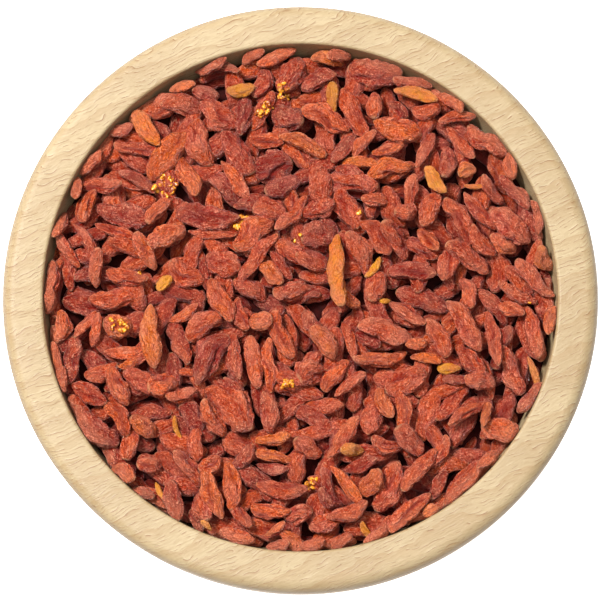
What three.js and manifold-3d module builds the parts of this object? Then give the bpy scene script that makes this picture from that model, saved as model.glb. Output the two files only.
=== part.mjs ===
// A turned beech bowl filled with dried goji berries. Millimetres, +Z up, origin on the table under the centre.
// The berries are let down one by one on a height map, so that each rests on those below it.
import * as THREE from "three";
import { mergeVertices } from "three/addons/utils/BufferGeometryUtils.js";
import Module from "manifold-3d";

// Driving dimensions of the bowl
const BOWL_RADIUS = 80;
const BOWL_HEIGHT = 60;
const RIM_WIDTH = 11;
const RIM_OUTER_ROUND = { across: 3.5, down: 3.2 };
const RIM_INNER_ROUND = 0.9;
const FOOT_RADIUS = 41;
const FOOT_HEIGHT = 3.5;
const FOOT_EDGE = 1;
const FOOT_STEP = 1.5;
const FLOOR_THICKNESS = 10;
const INNER_RADIUS = BOWL_RADIUS - RIM_WIDTH;
const INNER_DEPTH = BOWL_HEIGHT - FLOOR_THICKNESS;
const INNER_FULLNESS = 2.2;
const ROUND_SEGMENTS = 64;
// Shares of the hollow's depth at which its section has a corner
const HOLLOW_STEPS = [0.09, 0.17, 0.28, 0.45, 0.62, 0.76, 0.87, 0.95, 1];

// Driving dimensions of the pile
const CROWN_ABOVE_RIM = 1;
const CROWN_FALL = 2.5;
const BED_DEPTH = 10.2;
const CORE_DEPTH = 3.1;
const WALL_GAP = 0.35;
const ABOVE_ALL = 10;
const BERRY_WALL_GAP = 0.25;

// Sizes of one berry: middle value and how far it may lie from it
const LENGTH = { middle: 13, spread: 5 };
const WIDTH = { middle: 5.7, spread: 2 };
const LONGEST_TO_WIDE = 0.64;
const FLATNESS = { middle: 0.74, spread: 0.14 };
const TAPER = { middle: 1.02, spread: 0.3 };
const BLUNTNESS = { middle: 0.53, spread: 0.14 };
const BEND = { middle: 0, spread: 0.13 };

// How the pile is laid
const PILE_SEED = 20417;
const HIDDEN_BERRIES = 420;
const TRIES = 40;
const CELL = 0.75;
const GRID = 192;
const AXIS_STATIONS = [-0.85, -0.55, -0.25, 0, 0.25, 0.55, 0.85];
const MIDDLE_STATION = 3;
const ACROSS_STATIONS = [-0.6, 0, 0.6];
const STEEP_COST = 3.5;
const STEEPEST = 0.6;
const MOST_ROLL = 0.5;
const SINK = 0.14;
const STEP_INWARD = 0.99;
const SEEN_DEPTH = 4.2;
const HIDDEN_TOP = -3;
const SEEN_TOP = { lowest: -1.4, uppermost: 1.8 };

// The photo looks down on the bowl, a little from the front, so the far side looks smaller.
const PICTURE_CENTRE = { right: 300.4, down: 294 };
const UNITS_PER_MM = 3.72;
const UNITS_PER_MM_AWAY = 3.67;
const SMALLER_PER_MM = 0.00019;

// Berries seen in the photo, from the lowest to the uppermost. Each is given in picture units as
// [right, down, heading in degrees, length, width], read by eye.
const SEEN_BERRIES = [
  [206, 90, -10, 30, 17], [222, 69, -8, 42, 12], [343, 147, 50, 36, 16], [398, 106, -30, 26, 14],
  [350, 172, -30, 36, 18], [138, 178, -35, 44, 13], [205, 272, -80, 34, 12], [283, 184, 20, 40, 24],
  [281, 264, -50, 36, 12], [368, 338, -30, 30, 18], [311, 320, -50, 26, 16], [507, 335, 60, 26, 14],
  [455, 379, -5, 26, 12], [143, 491, -20, 26, 12], [194, 522, -60, 26, 14], [272, 466, -10, 34, 12],
  [327, 480, -70, 32, 14], [437, 482, 60, 34, 14], [330, 498, -35, 36, 16], [193, 414, -40, 34, 20],
  [513, 190, -50, 46, 16], [243, 112, 90, 44, 20], [412, 270, -5, 50, 20], [165, 105, 40, 36, 24],
  [183, 104, -10, 48, 22], [138, 146, -5, 50, 14], [262, 80, 70, 34, 22], [492, 188, -50, 40, 14],
  [460, 140, -50, 46, 14], [425, 148, 62, 44, 14], [347, 207, -60, 48, 24], [319, 208, 20, 36, 22],
  [291, 250, -35, 48, 18], [312, 262, -20, 40, 16], [186, 272, -25, 40, 24], [113, 297, 5, 50, 22],
  [55, 280, 80, 46, 18], [69, 247, -56, 46, 13], [86, 241, -65, 46, 13], [115, 229, -22, 50, 12],
  [127, 247, -25, 42, 18], [126, 275, -15, 44, 20], [408, 312, -35, 44, 16],
  [350, 338, -75, 44, 12], [124, 350, 5, 40, 14], [145, 380, -30, 48, 22], [163, 384, 10, 36, 26],
  [405, 378, 25, 46, 28], [372, 415, 75, 40, 22], [292, 290, 10, 40, 20], [449, 262, 75, 38, 22],
  [517, 291, -30, 44, 14], [182, 350, -60, 32, 16], [240, 314, -75, 36, 17], [292, 378, 0, 34, 24],
  [311, 372, 30, 32, 30], [335, 374, 50, 40, 18], [350, 383, 35, 40, 14], [308, 446, -35, 34, 20],
  [325, 522, 20, 34, 22], [440, 450, 60, 36, 18], [386, 443, -15, 34, 18], [240, 512, -50, 36, 14],
  [297, 512, 0, 32, 20], [130, 440, 75, 38, 18], [150, 463, 15, 28, 18], [195, 443, 88, 34, 18],
  [124, 130, 25, 28, 15], [184, 87, 15, 28, 14], [218, 112, -35, 48, 28], [201, 140, -75, 52, 26],
  [291, 72, 60, 48, 26], [277, 58, 22, 44, 16], [286, 115, -20, 40, 28], [262, 108, 62, 46, 16],
  [267, 138, 0, 36, 18], [238, 150, -55, 56, 26], [272, 166, 20, 44, 32], [236, 178, -55, 48, 15],
  [188, 174, -62, 48, 20], [303, 143, -20, 52, 19], [318, 77, 20, 40, 18], [374, 72, -10, 56, 30],
  [411, 84, -10, 42, 14], [354, 110, -65, 58, 24], [426, 108, 0, 30, 20], [397, 127, -18, 52, 26],
  [326, 117, -28, 54, 24], [363, 142, 48, 36, 14], [388, 148, 15, 34, 12], [320, 183, 85, 40, 28],
  [354, 181, -15, 50, 22], [388, 168, 15, 46, 22], [360, 161, -5, 38, 13], [374, 200, -8, 28, 15],
  [411, 190, 75, 36, 16], [406, 213, 10, 26, 20], [455, 117, 12, 40, 15], [485, 142, -35, 52, 24],
  [447, 160, 80, 40, 20], [100, 184, -2, 50, 17], [122, 213, -15, 62, 24], [86, 203, 65, 36, 20],
  [98, 266, 88, 42, 15], [146, 250, -65, 44, 18], [166, 234, 35, 44, 24], [158, 208, 52, 44, 16],
  [208, 213, -5, 66, 28], [212, 232, -8, 50, 10], [166, 153, 52, 62, 28], [270, 207, -10, 34, 26],
  [254, 232, 45, 50, 28], [223, 262, -25, 38, 26], [220, 300, -62, 50, 24], [271, 273, -40, 36, 18],
  [292, 213, 50, 50, 16], [256, 258, 54, 66, 15], [318, 235, 10, 38, 32], [377, 235, -50, 46, 22],
  [396, 238, -58, 50, 20], [430, 208, 60, 38, 24], [428, 238, -50, 36, 16], [359, 252, -60, 50, 22],
  [376, 285, 60, 34, 22], [480, 210, -48, 52, 16], [461, 219, -62, 56, 22], [510, 224, -38, 52, 26],
  [482, 240, -50, 40, 18], [503, 243, -30, 34, 18], [468, 255, -32, 54, 22],
  [467, 290, -70, 36, 18], [533, 277, -45, 54, 17], [541, 257, -60, 32, 20], [64, 324, 85, 36, 20],
  [74, 358, 85, 48, 20], [85, 322, 55, 36, 12], [95, 328, 75, 36, 14], [118, 323, 0, 30, 26],
  [102, 370, 20, 36, 18], [119, 384, -58, 44, 20], [119, 416, -55, 42, 20], [98, 424, -42, 58, 24],
  [89, 392, -32, 42, 22], [143, 426, -35, 34, 20], [134, 360, 25, 34, 12], [152, 335, 92, 66, 20],
  [184, 312, 30, 36, 13], [203, 325, 40, 42, 24], [282, 334, -68, 52, 20], [261, 320, 5, 26, 20],
  [236, 355, -85, 48, 14], [209, 357, 58, 60, 30], [254, 361, -83, 54, 17], [269, 364, -86, 56, 15],
  [230, 405, -42, 66, 36], [212, 418, -60, 46, 20], [267, 412, -80, 44, 20], [182, 393, 15, 34, 14],
  [465, 324, -58, 62, 21], [439, 336, -65, 44, 20], [470, 358, -45, 42, 20],
  [512, 368, -65, 54, 20], [494, 336, -80, 68, 16], [532, 330, -75, 54, 18], [546, 318, 70, 36, 16],
  [511, 308, -20, 30, 15], [384, 332, -12, 56, 24], [380, 357, 7, 60, 15], [416, 343, 5, 24, 12],
  [426, 357, -8, 32, 12], [324, 342, -60, 40, 20], [349, 297, -35, 30, 12], [337, 270, 91, 78, 19],
  [403, 412, -82, 48, 16], [384, 402, -68, 38, 15], [480, 380, -15, 34, 22], [500, 427, 0, 38, 24],
  [467, 411, 30, 50, 14], [485, 414, 78, 32, 12], [409, 440, -50, 38, 24], [389, 486, 63, 54, 26],
  [418, 468, 50, 56, 18], [408, 508, 45, 56, 18], [460, 478, 47, 58, 20], [484, 456, 35, 34, 14],
  [370, 481, 45, 36, 24], [360, 464, 20, 38, 16], [348, 484, -50, 54, 14], [348, 511, 20, 44, 18],
  [338, 541, 3, 40, 13], [343, 436, 50, 52, 18], [282, 487, -3, 52, 20], [271, 508, -5, 42, 18],
  [293, 536, -35, 36, 16], [275, 527, 33, 28, 10], [244, 455, 48, 32, 16], [273, 438, 12, 36, 12],
  [274, 455, -12, 38, 12], [177, 497, -80, 42, 20], [188, 466, -55, 46, 17],
  [203, 504, -80, 34, 20], [210, 462, 20, 26, 20], [213, 493, -68, 54, 20], [231, 484, -87, 50, 18],
  [125, 469, -25, 30, 18], [147, 127, -59, 48, 20], [327, 57, -5, 36, 19], [241, 88, 3, 30, 16],
  [333, 95, -85, 32, 14], [375, 103, 92, 33, 18], [415, 95, -15, 46, 14], [467, 168, 20, 20, 16],
  [435, 180, -50, 34, 16], [474, 184, -8, 22, 6], [164, 281, 35, 20, 14], [374, 266, 58, 30, 9],
  [385, 299, 10, 14, 7], [449, 366, 0, 24, 12], [530, 368, -68, 32, 9], [352, 450, 0, 28, 16],
  [430, 508, 30, 18, 14], [368, 527, -45, 26, 8], [162, 488, -65, 24, 6], [177, 425, -75, 24, 6],
  [208, 521, -35, 16, 6],
];

// The faceted berry: sides and rings of the sphere that it is drawn from
const BERRY_SIDES = 5;
const BERRY_RINGS = 3;
const FACET_SWELL = 1.1;
const SHOWN_BERRIES = 262;

const BEECH = { color: 0xead0a3, roughness: 0.6, metalness: 0 };
const DRIED_RED = { color: 0xad4a38, roughness: 0.62, metalness: 0 };

// Corners closer than this are one corner
const MERGE_WITHIN = 1e-3;

const wasm = await Module();
wasm.setup();

// Points of a quarter round from one angle to another, without its first point.
function arc(centre, radii, from, to, steps) {
  return Array.from({ length: steps }, (_, i) => {
    const angle = from + ((to - from) * (i + 1)) / steps;
    return new THREE.Vector2(
      centre.x + radii.x * Math.cos(angle),
      centre.y + radii.y * Math.sin(angle),
    );
  });
}

// Radius of the hollow at a depth under the rim.
function hollowRadius(depth, gap = 0) {
  const share = Math.max(0, Math.min(1, depth / (INNER_DEPTH - gap)));
  return (INNER_RADIUS - gap) * Math.sqrt(Math.max(0, 1 - share ** INNER_FULLNESS));
}

// A closed profile turned round the upright axis.
function turned(points) {
  return new THREE.LatheGeometry(points, ROUND_SEGMENTS).rotateX(Math.PI / 2);
}

function bowlGeometry() {
  const quarter = Math.PI / 2;
  const shoulder = BOWL_HEIGHT - RIM_OUTER_ROUND.down;
  const waist = FOOT_RADIUS - FOOT_STEP;
  const profile = [
    new THREE.Vector2(0, 0),
    new THREE.Vector2(FOOT_RADIUS - FOOT_EDGE, 0),
    new THREE.Vector2(FOOT_RADIUS, FOOT_EDGE),
    new THREE.Vector2(FOOT_RADIUS, FOOT_HEIGHT - FOOT_EDGE),
    new THREE.Vector2(waist, FOOT_HEIGHT),
    ...arc(
      new THREE.Vector2(waist, shoulder),
      new THREE.Vector2(BOWL_RADIUS - waist, shoulder - FOOT_HEIGHT),
      -quarter,
      0,
      8,
    ),
    ...arc(
      new THREE.Vector2(BOWL_RADIUS - RIM_OUTER_ROUND.across, shoulder),
      new THREE.Vector2(RIM_OUTER_ROUND.across, RIM_OUTER_ROUND.down),
      0,
      quarter,
      6,
    ),
    new THREE.Vector2(INNER_RADIUS + RIM_INNER_ROUND, BOWL_HEIGHT),
    ...arc(
      new THREE.Vector2(INNER_RADIUS + RIM_INNER_ROUND, BOWL_HEIGHT - RIM_INNER_ROUND),
      new THREE.Vector2(RIM_INNER_ROUND, RIM_INNER_ROUND),
      quarter,
      2 * quarter,
      3,
    ),
  ];
  for (const share of HOLLOW_STEPS) {
    const depth = share * INNER_DEPTH;
    profile.push(new THREE.Vector2(hollowRadius(depth), BOWL_HEIGHT - depth));
  }
  return turned(profile);
}

// The inside of the bowl up over its rim, a gap away from the wall.
function hollowGeometry() {
  const profile = [new THREE.Vector2(0, BOWL_HEIGHT + ABOVE_ALL)];
  profile.push(new THREE.Vector2(INNER_RADIUS - WALL_GAP, BOWL_HEIGHT + ABOVE_ALL));
  for (const share of [0, ...HOLLOW_STEPS]) {
    const depth = share * (INNER_DEPTH - WALL_GAP);
    profile.push(new THREE.Vector2(hollowRadius(depth, WALL_GAP), BOWL_HEIGHT - depth));
  }
  return turned(profile.reverse());
}

// Height of the pile's crown over the table, at a distance from the centre.
function crownHeight(distance) {
  return BOWL_HEIGHT + CROWN_ABOVE_RIM - CROWN_FALL * (distance / INNER_RADIUS) ** 2;
}

// The solid inside of the pile, a gap away from the hollow. The berries stand out of it.
function coreGeometry() {
  const profile = [];
  for (const share of [1, 0.95, 0.87, 0.76, 0.62, 0.45, 0.3]) {
    const depth = share * (INNER_DEPTH - WALL_GAP);
    profile.push(new THREE.Vector2(hollowRadius(depth, WALL_GAP), BOWL_HEIGHT - depth));
  }
  const edge = INNER_RADIUS - WALL_GAP - BERRY_WALL_GAP;
  for (const share of [1, 0.85, 0.6, 0.3, 0]) {
    profile.push(new THREE.Vector2(share * edge, crownHeight(share * edge) - CORE_DEPTH));
  }
  return turned(profile);
}

// Seeded random numbers from 0 to 1.
function randomDraws(seed) {
  let state = seed >>> 0;
  return () => {
    state = (state + 0x6d2b79f5) >>> 0;
    let t = state;
    t = Math.imul(t ^ (t >>> 15), t | 1);
    t ^= t + Math.imul(t ^ (t >>> 7), t | 61);
    return ((t ^ (t >>> 14)) >>> 0) / 4294967296;
  };
}

function around(size, draw) {
  return size.middle + size.spread * (draw() + draw() - 1);
}

// What differs from one berry to the next, apart from its place and size.
function character(draw) {
  return {
    flatness: around(FLATNESS, draw),
    taper: around(TAPER, draw),
    bluntness: around(BLUNTNESS, draw),
    bend: around(BEND, draw),
  };
}

// Half girth of a berry along its axis, as a share of its widest, at t from -1 to 1.
function girth(berry, t) {
  const s = ((1 + t) / 2) ** berry.taper;
  return (4 * s * (1 - s)) ** berry.bluntness;
}

// How far the bent axis lies to the side.
function sideways(berry, t) {
  return berry.bend * berry.length * (t * t - 0.4);
}

function onGrid(x, y) {
  const column = Math.round(x / CELL + GRID / 2);
  const row = Math.round(y / CELL + GRID / 2);
  return row * GRID + column;
}

// A height map that starts as the bed under the pile.
function bedHeights() {
  const heights = new Float64Array(GRID * GRID);
  for (let row = 0; row < GRID; row++) {
    for (let column = 0; column < GRID; column++) {
      const x = (column - GRID / 2) * CELL;
      const y = (row - GRID / 2) * CELL;
      heights[row * GRID + column] = crownHeight(Math.hypot(x, y)) - BED_DEPTH;
    }
  }
  return heights;
}

// Place over the ground of the point that is t along the axis and o across the girth.
function overGround(berry, t, o) {
  const along = (t * berry.length) / 2;
  const across = (o * girth(berry, t) * berry.width) / 2 + sideways(berry, t);
  const c = Math.cos(berry.heading);
  const s = Math.sin(berry.heading);
  return [berry.x + along * c - across * s, berry.y + along * s + across * c];
}

// Whether the hollow is wide enough for a berry.
function insideWall(berry) {
  return AXIS_STATIONS.concat([-1, 1]).every((t) => {
    const height = berry.z + (t * berry.length * berry.slope) / 2;
    const limit = hollowRadius(BOWL_HEIGHT - height, BERRY_WALL_GAP);
    return [-1, 1].every((o) => Math.hypot(...overGround(berry, t, o)) < limit);
  });
}

// Rests a berry: its axis comes to lie on the surface on both sides of its middle, and its top no
// higher than a limit over the crown.
function settle(berry, heights, topLimit) {
  const lift = [];
  const sides = [0, 0];
  for (const t of AXIS_STATIONS) {
    const half = (berry.thickness / 2) * girth(berry, t);
    let highest = -Infinity;
    for (const o of ACROSS_STATIONS) {
      const ground = heights[onGrid(...overGround(berry, t, o))];
      highest = Math.max(highest, ground + half * Math.sqrt(1 - o * o));
      if (o < 0) sides[0] += ground;
      if (o > 0) sides[1] += ground;
    }
    lift.push(highest);
  }
  let middle = -Infinity;
  let slope = 0;
  for (let i = 0; i < MIDDLE_STATION; i++) {
    for (let j = MIDDLE_STATION + 1; j < AXIS_STATIONS.length; j++) {
      const run = ((AXIS_STATIONS[j] - AXIS_STATIONS[i]) * berry.length) / 2;
      const rise = (lift[j] - lift[i]) / run;
      const here = lift[i] - (AXIS_STATIONS[i] * berry.length * rise) / 2;
      if (here > middle) {
        middle = here;
        slope = rise;
      }
    }
  }
  const apart = ACROSS_STATIONS[2] * berry.width * AXIS_STATIONS.length;
  const lean = (sides[1] - sides[0]) / apart;
  berry.slope = Math.max(-STEEPEST, Math.min(STEEPEST, slope));
  berry.roll = Math.max(-MOST_ROLL, Math.min(MOST_ROLL, lean));
  const resting = Math.max(middle, lift[MIDDLE_STATION]) - SINK * berry.thickness;
  const crown = crownHeight(Math.hypot(berry.x, berry.y));
  berry.z = Math.min(resting, crown + topLimit - berry.thickness / 2);
  berry.cost = resting - crown + STEEP_COST * Math.abs(slope);
}

function stepInward(berry) {
  berry.x *= STEP_INWARD;
  berry.y *= STEP_INWARD;
}

// Lets a berry down from the rim, nearer the centre where the wall is in its way.
function letDown(berry, heights, topLimit) {
  while (!insideWall(berry)) stepInward(berry);
  settle(berry, heights, topLimit);
  while (!insideWall(berry)) {
    stepInward(berry);
    settle(berry, heights, topLimit);
  }
}

// Raises the height map to the top of a berry, and notes which cells it covers.
function cover(berry, heights, owners, index) {
  const c = Math.cos(berry.heading);
  const s = Math.sin(berry.heading);
  const reach = Math.ceil(berry.length / 2 / CELL) + 1;
  const column = Math.round(berry.x / CELL + GRID / 2);
  const row = Math.round(berry.y / CELL + GRID / 2);
  for (let j = row - reach; j <= row + reach; j++) {
    for (let i = column - reach; i <= column + reach; i++) {
      const dx = (i - GRID / 2) * CELL - berry.x;
      const dy = (j - GRID / 2) * CELL - berry.y;
      const along = dx * c + dy * s;
      const t = (2 * along) / berry.length;
      if (Math.abs(t) >= 1) continue;
      const across = dy * c - dx * s - sideways(berry, t);
      const thick = girth(berry, t);
      const o = (2 * across) / (thick * berry.width);
      if (Math.abs(o) >= 1) continue;
      const top =
        berry.z +
        along * berry.slope +
        across * berry.roll +
        (berry.thickness / 2) * thick * Math.sqrt(1 - o * o);
      const cell = j * GRID + i;
      if (top < heights[cell]) continue;
      heights[cell] = top;
      owners[cell] = index;
    }
  }
}

// One berry of a random size at the lowest of a few random places.
function lowestBerry(draw, heights) {
  const length = around(LENGTH, draw);
  const width = Math.min(around(WIDTH, draw), LONGEST_TO_WIDE * length);
  const shape = character(draw);
  let best = null;
  for (let n = 0; n < TRIES; n++) {
    const distance = (INNER_RADIUS - BERRY_WALL_GAP) * Math.sqrt(draw());
    const bearing = 2 * Math.PI * draw();
    const berry = {
      x: distance * Math.cos(bearing),
      y: distance * Math.sin(bearing),
      z: BOWL_HEIGHT,
      slope: 0,
      heading: 2 * Math.PI * draw(),
      length,
      width,
      thickness: width * shape.flatness,
      ...shape,
    };
    if (!insideWall(berry)) berry.heading = bearing + Math.PI / 2;
    letDown(berry, heights, HIDDEN_TOP);
    if (!best || berry.cost < best.cost) best = berry;
  }
  return best;
}

// A berry that lies where the photo shows it. Its rank is 0 for the lowest and 1 for the uppermost.
function seenBerry([right, down, heading, length, width], rank, draw, heights) {
  const shape = character(draw);
  const away = (PICTURE_CENTRE.down - down) / UNITS_PER_MM_AWAY;
  const farther = 1 + SMALLER_PER_MM * away;
  const berry = {
    x: ((right - PICTURE_CENTRE.right) / UNITS_PER_MM) * farther,
    y: away * farther,
    z: BOWL_HEIGHT,
    slope: 0,
    heading: THREE.MathUtils.degToRad(heading),
    length: length / UNITS_PER_MM,
    width: width / UNITS_PER_MM,
    thickness: (width / UNITS_PER_MM) * shape.flatness,
    ...shape,
  };
  letDown(berry, heights, THREE.MathUtils.lerp(SEEN_TOP.lowest, SEEN_TOP.uppermost, rank));
  const crown = crownHeight(Math.hypot(berry.x, berry.y));
  berry.z = Math.max(berry.z, crown - SEEN_DEPTH);
  return berry;
}

// Every berry of the pile, each with the number of map cells in which it is uppermost.
function pile() {
  const draw = randomDraws(PILE_SEED);
  const heights = bedHeights();
  const owners = new Int32Array(GRID * GRID).fill(-1);
  const berries = [];
  const lay = (berry) => {
    cover(berry, heights, owners, berries.length);
    berries.push({ ...berry, shown: 0 });
  };
  for (let n = 0; n < HIDDEN_BERRIES; n++) lay(lowestBerry(draw, heights));
  SEEN_BERRIES.forEach((seen, i) => lay(seenBerry(seen, i / SEEN_BERRIES.length, draw, heights)));
  for (const owner of owners) {
    if (owner >= 0) berries[owner].shown += 1;
  }
  return berries;
}

// The berries of which most is seen from above.
function uppermost(berries) {
  return berries.sort((a, b) => b.shown - a.shown).slice(0, SHOWN_BERRIES);
}

function solidFrom(geometry) {
  const bare = geometry.clone();
  bare.deleteAttribute("normal");
  bare.deleteAttribute("uv");
  const merged = mergeVertices(bare, MERGE_WITHIN);
  return new wasm.Manifold(
    new wasm.Mesh({
      numProp: 3,
      vertProperties: new Float32Array(merged.attributes.position.array),
      triVerts: new Uint32Array(merged.index.array),
    }),
  );
}

// A faceted berry: a sphere drawn out along the bent axis and tilted as it rests.
function berryGeometry(berry) {
  const geometry = new THREE.SphereGeometry(1, BERRY_SIDES, BERRY_RINGS);
  const position = geometry.attributes.position;
  for (let i = 0; i < position.count; i++) {
    const t = Math.max(-1, Math.min(1, position.getY(i)));
    const angle = Math.atan2(position.getX(i), position.getZ(i));
    const pole = Math.abs(t) > 0.999;
    const thick = pole ? 0 : girth(berry, t) * FACET_SWELL;
    const across = (thick * berry.width * Math.cos(angle)) / 2 + sideways(berry, t);
    const up = (thick * berry.thickness * Math.sin(angle)) / 2;
    position.setXYZ(i, (t * berry.length) / 2, across, up);
  }
  const turn = new THREE.Euler(
    Math.atan(berry.roll),
    -Math.atan(berry.slope),
    berry.heading,
    "ZYX",
  );
  const place = new THREE.Matrix4().makeRotationFromEuler(turn);
  return geometry.applyMatrix4(place.setPosition(berry.x, berry.y, berry.z));
}

function geometryFrom(solid) {
  const mesh = solid.getMesh();
  const positions = new Float32Array(mesh.numVert * 3);
  for (let i = 0; i < mesh.numVert; i++) {
    const start = i * mesh.numProp;
    positions.set(mesh.vertProperties.subarray(start, start + 3), i * 3);
  }
  const geometry = new THREE.BufferGeometry();
  geometry.setAttribute("position", new THREE.BufferAttribute(positions, 3));
  geometry.setIndex(new THREE.BufferAttribute(mesh.triVerts, 1));
  geometry.computeVertexNormals();
  return geometry;
}

// The outer body alone, without loose scraps and with its sealed hollows filled.
function outerBody(solid) {
  return solid.decompose().reduce((a, b) => (b.volume() > a.volume() ? b : a));
}

// The pile as one body: the core with the uppermost berries fused to it.
function heapGeometry() {
  const solids = uppermost(pile()).map((berry) => solidFrom(berryGeometry(berry)));
  const heap = wasm.Manifold.union([solidFrom(coreGeometry()), ...solids]);
  const fused = geometryFrom(outerBody(heap.intersect(solidFrom(hollowGeometry()))));
  // Merged corners can seal a hollow anew, so the outer body is taken once more.
  return geometryFrom(outerBody(solidFrom(fused)));
}

function named(name, geometry, finish) {
  const mesh = new THREE.Mesh(geometry, new THREE.MeshStandardMaterial(finish));
  mesh.name = name;
  return mesh;
}

const filledBowl = new THREE.Group();
filledBowl.add(named("bowl", bowlGeometry(), BEECH));
filledBowl.add(named("goji_berries", heapGeometry(), DRIED_RED));

export default filledBowl;
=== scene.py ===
# A turned beech bowl filled with dried goji berries, +Z up, in the frame of the CAD part.
# Sizes are in mm unless a comment says otherwise. MM turns them into Blender's metres.
# The berries are let down one by one on a height map, by the same rule as the CAD part's berries.
import math

import bpy
import numpy as np
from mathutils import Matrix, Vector


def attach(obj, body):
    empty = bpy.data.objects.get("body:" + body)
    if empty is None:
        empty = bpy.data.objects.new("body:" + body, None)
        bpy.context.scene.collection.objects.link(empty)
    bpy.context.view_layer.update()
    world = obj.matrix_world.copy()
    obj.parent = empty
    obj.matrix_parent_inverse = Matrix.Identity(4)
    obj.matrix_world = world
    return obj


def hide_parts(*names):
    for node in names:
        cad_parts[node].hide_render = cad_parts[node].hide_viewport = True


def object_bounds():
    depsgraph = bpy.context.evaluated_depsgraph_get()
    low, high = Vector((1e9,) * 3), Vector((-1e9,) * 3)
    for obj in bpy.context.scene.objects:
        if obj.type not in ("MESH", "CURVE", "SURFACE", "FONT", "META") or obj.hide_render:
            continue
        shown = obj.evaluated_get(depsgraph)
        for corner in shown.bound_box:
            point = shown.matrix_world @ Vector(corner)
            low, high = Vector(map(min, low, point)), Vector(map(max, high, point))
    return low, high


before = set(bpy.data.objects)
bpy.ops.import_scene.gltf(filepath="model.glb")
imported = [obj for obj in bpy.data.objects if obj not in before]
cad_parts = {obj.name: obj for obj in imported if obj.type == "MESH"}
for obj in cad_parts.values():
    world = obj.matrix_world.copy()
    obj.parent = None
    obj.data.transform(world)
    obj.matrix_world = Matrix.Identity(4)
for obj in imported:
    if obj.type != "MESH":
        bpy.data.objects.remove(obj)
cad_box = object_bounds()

MM = 0.001

# Driving dimensions of the bowl, in mm
BOWL_RADIUS = 80
BOWL_HEIGHT = 60
RIM_WIDTH = 11
RIM_OUTER_ROUND = (3.5, 3.2)
RIM_INNER_ROUND = 0.9
FOOT_RADIUS = 41
FOOT_HEIGHT = 3.5
FOOT_EDGE = 1
FOOT_STEP = 1.5
FLOOR_THICKNESS = 10
INNER_RADIUS = BOWL_RADIUS - RIM_WIDTH
INNER_DEPTH = BOWL_HEIGHT - FLOOR_THICKNESS
INNER_FULLNESS = 2.2
BOWL_SEGMENTS = 256
WALL_STEPS = 32
RIM_STEPS = 16
LIP_STEPS = 8

# Driving dimensions of the pile, in mm
CROWN_ABOVE_RIM = 1
CROWN_FALL = 2.5
BED_DEPTH = 10.2
BERRY_WALL_GAP = 0.25
SKIN_WALL_GAP = 0.1

# Sizes of one berry: middle value and how far it may lie from it
LENGTH = (13, 5)
WIDTH = (5.7, 2)
LONGEST_TO_WIDE = 0.64
FLATNESS = (0.74, 0.14)
TAPER = (1.02, 0.3)
BLUNTNESS = (0.53, 0.14)
BEND = (0, 0.13)

# How the pile is laid
PILE_SEED = 20417
HIDDEN_BERRIES = 420
TRIES = 40
CELL = 0.75
GRID = 192
AXIS_STATIONS = (-0.85, -0.55, -0.25, 0, 0.25, 0.55, 0.85)
MIDDLE_STATION = 3
ACROSS_STATIONS = (-0.6, 0, 0.6)
STEEP_COST = 3.5
STEEPEST = 0.6
MOST_ROLL = 0.5
SINK = 0.14
STEP_INWARD = 0.99
SEEN_DEPTH = 4.2
HIDDEN_TOP = -3
SEEN_TOP = (-1.4, 1.8)

# The photo looks down on the bowl, a little from the front, so the far side looks smaller.
PICTURE_CENTRE = (300.4, 294)
UNITS_PER_MM = 3.72
UNITS_PER_MM_AWAY = 3.67
SMALLER_PER_MM = 0.00019

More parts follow.
